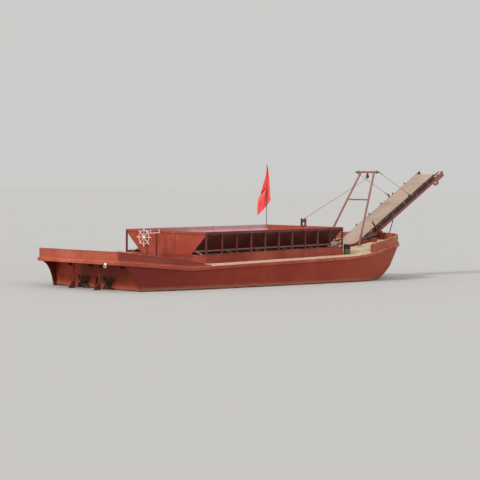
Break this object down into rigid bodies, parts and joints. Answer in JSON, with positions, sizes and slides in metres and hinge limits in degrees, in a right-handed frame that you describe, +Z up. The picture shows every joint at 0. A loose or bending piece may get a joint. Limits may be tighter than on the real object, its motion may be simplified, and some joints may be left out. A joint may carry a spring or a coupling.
{
  "type": "river barge",
  "caption": "Flat-bottomed steel sand barge with an open framed hopper, sheer legs and a luffing discharge conveyor over the bow.",
  "frame": {"origin": "on the flat bottom of the hull, on the centreline amidships", "axes": "+X towards the bow, +Y to port, +Z up"},
  "size_m": [38.6881, 7.88, 8],
  "materials": {
    "red_hull": "matte, weathered",
    "red_side": "satin",
    "red_hopper": "satin",
    "worn_plate": "matte, dusty",
    "red_frame": "satin",
    "red_boom": "satin",
    "belt": "matte, sandy",
    "steel": "dull",
    "white": "satin",
    "drum_paint": "satin",
    "bronze": "dull, stained",
    "wire": "dull",
    "flag": "matte"
  },
  "bodies": {
    "barge": {"hull": "red_hull", "skeg": "red_hull", "rub_rail": "red_side", "stern_bulwark": "red_side", "bow_bulwark": "red_side", "hopper_coaming": "red_hopper", "hopper_end_aft": "red_hopper", "hopper_end_forward": "red_hopper", "well_coaming": "red_hopper", "helm_pedestal": "red_hopper", "hatch_coaming": "red_hopper", "hopper_side_port": "worn_plate", "hopper_side_starboard": "worn_plate", "hopper_frame_port": "red_frame", "hopper_frame_starboard": "red_frame", "hold_conveyor_frame": "red_frame", "boom_bearing_port": "red_frame", "boom_bearing_starboard": "red_frame", "winch_frame": "red_frame", "helm_post": "red_frame", "bitts_stern_port": "red_frame", "bitts_stern_starboard": "red_frame", "bitts_bow_port": "red_frame", "bitts_bow_starboard": "red_frame", "sheer_legs": "red_boom", "boom_rest": "red_boom", "hold_belt": "belt", "hold_tail_pulley": "steel", "hold_head_pulley": "steel", "luffing_pin_port": "steel", "luffing_pin_starboard": "steel", "purchase_block": "steel", "winch_drum": "steel", "stern_tube_port": "steel", "stern_tube_starboard": "steel", "flag_staff": "steel", "lever_bar": "white", "mooring_ring": "white", "fuel_drum": "drum_paint", "hauling_rope": "wire", "flag": "flag"},
    "boom": {"boom_frame": "red_boom", "boom_belt": "belt", "boom_tail_pulley": "steel", "boom_head_pulley": "steel", "boom_gearbox": "red_boom"},
    "luffing_ropes": {"luffing_rope_port": "wire", "luffing_rope_starboard": "wire"},
    "rudder_port_body": {"rudder_port": "red_hull"},
    "rudder_starboard_body": {"rudder_starboard": "red_hull"},
    "propeller_port_body": {"propeller_port": "bronze"},
    "propeller_starboard_body": {"propeller_starboard": "bronze"},
    "helm_body": {"helm_wheel": "white"},
    "hatch_lid_body": {"hatch_lid": "red_hopper"}
  },
  "joints": [
    {"name": "boom_luff", "type": "hinge", "parent": "barge", "child": "boom", "pos_m": [10.75, 0, 2], "axis": [0, -1, 0], "range_deg": [0, 14]},
    {"name": "luffing_rope_swing", "type": "hinge", "parent": "barge", "child": "luffing_ropes", "pos_m": [13.95, 0, 7.55], "axis": [0, -1, 0], "range_deg": [0, 21.8]},
    {"name": "rudder_port_turn", "type": "hinge", "parent": "barge", "child": "rudder_port_body", "pos_m": [-14.65, 1, 0.99], "axis": [0, 0, 1], "range_deg": [-35, 35]},
    {"name": "rudder_starboard_turn", "type": "hinge", "parent": "barge", "child": "rudder_starboard_body", "pos_m": [-14.65, -1, 0.99], "axis": [0, 0, 1], "range_deg": [-35, 35]},
    {"name": "helm_wheel_turn", "type": "hinge", "parent": "barge", "child": "helm_body", "pos_m": [-9.95, 0, 3.45], "axis": [1, 0, 0], "range_deg": [-525, 525]},
    {"name": "propeller_port_spin", "type": "hinge", "parent": "barge", "child": "propeller_port_body", "pos_m": [-14, 1, 0.99], "axis": [1, 0, 0], "continuous": true},
    {"name": "propeller_starboard_spin", "type": "hinge", "parent": "barge", "child": "propeller_starboard_body", "pos_m": [-14, -1, 0.99], "axis": [1, 0, 0], "continuous": true},
    {"name": "hatch_lid_open", "type": "hinge", "parent": "barge", "child": "hatch_lid_body", "pos_m": [-13.235, 0, 2.595], "axis": [0, -1, 0], "range_deg": [0, 95]}
  ],
  "couplings": [
    {"joint": "luffing_rope_swing", "follows": "boom_luff", "ratio": 1.554},
    {"joint": "rudder_starboard_turn", "follows": "rudder_port_turn", "ratio": 1},
    {"joint": "helm_wheel_turn", "follows": "rudder_port_turn", "ratio": 15}
  ]
}
